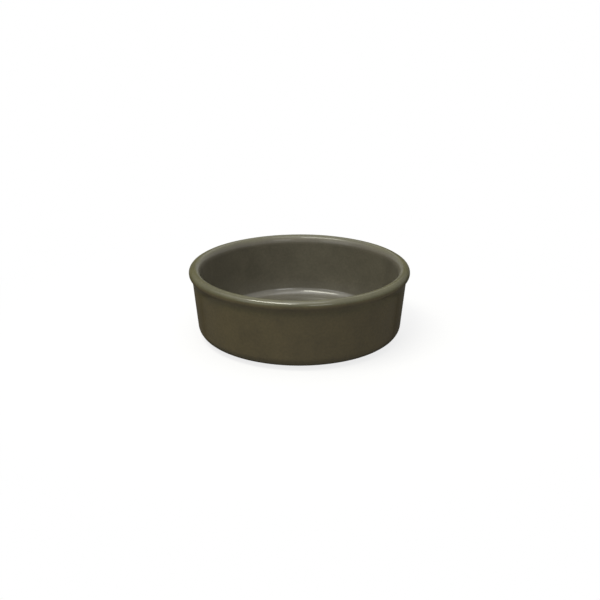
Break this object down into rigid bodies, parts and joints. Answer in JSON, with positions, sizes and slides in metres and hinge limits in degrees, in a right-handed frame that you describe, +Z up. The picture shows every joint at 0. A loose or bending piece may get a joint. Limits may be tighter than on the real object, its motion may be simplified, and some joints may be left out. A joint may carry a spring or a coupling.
{
  "type": "casserole dish",
  "caption": "Round stoneware casserole dish for baking and serving, with a drafted wall, flared lip, rounded base corner, flat inside floor and bare foot ring under an olive-brown glaze.",
  "frame": {"origin": "on the dish's axis, in the plane that the foot ring stands on", "axes": "+Z up along the dish's axis, out of its mouth; the dish is round, so +X and +Y are any two directions square to it"},
  "size_m": [0.15, 0.15, 0.049],
  "materials": {
    "olive_glaze": "satin",
    "bare_stoneware": "matte"
  },
  "bodies": {
    "root": {"stoneware_body": "bare_stoneware", "glaze_coat": "olive_glaze", "foot_well_glaze": "olive_glaze"}
  },
  "joints": []
}
